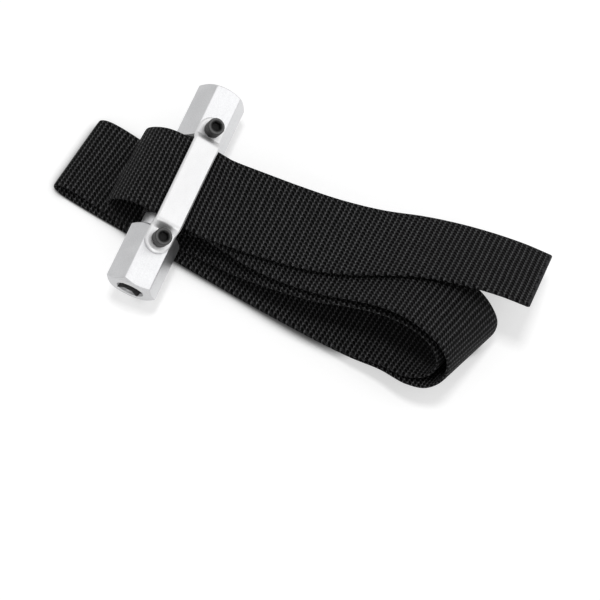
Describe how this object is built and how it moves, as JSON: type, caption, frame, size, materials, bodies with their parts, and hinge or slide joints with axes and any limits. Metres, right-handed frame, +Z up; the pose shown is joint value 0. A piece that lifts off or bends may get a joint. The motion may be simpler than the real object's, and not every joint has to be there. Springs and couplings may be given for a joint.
{
  "type": "strap oil filter wrench",
  "caption": "Hexagon drive bar with a square socket and a bridge plate over its waist, holding a long woven strap laid in nested loops.",
  "frame": {"origin": "middle of the overall box's base, on the surface that the strap lies on", "axes": "+X out along the strap from the bar toward the cut end, +Y along the drive bar away from its socketed end, +Z up"},
  "size_m": [0.2888, 0.132, 0.0591],
  "materials": {
    "bar_metal": "satin plated",
    "bridge_metal": "bright plated",
    "screw_black": "black oxide",
    "webbing": "heavy woven webbing with lengthwise ribs of thread"
  },
  "bodies": {
    "strap": {"webbing_strap": "webbing"},
    "bar": {"drive_bar": "bar_metal", "strap_bridge": "bridge_metal", "bridge_screw_near": "screw_black", "bridge_screw_far": "screw_black", "lock_washer_near": "screw_black", "lock_washer_far": "screw_black"}
  },
  "joints": [
    {"name": "bar_in_eye", "type": "hinge", "parent": "strap", "child": "bar", "pos_m": [-0.06913, 0, 0.02275], "axis": [0, 1, 0], "range_deg": [-20, 8]}
  ]
}
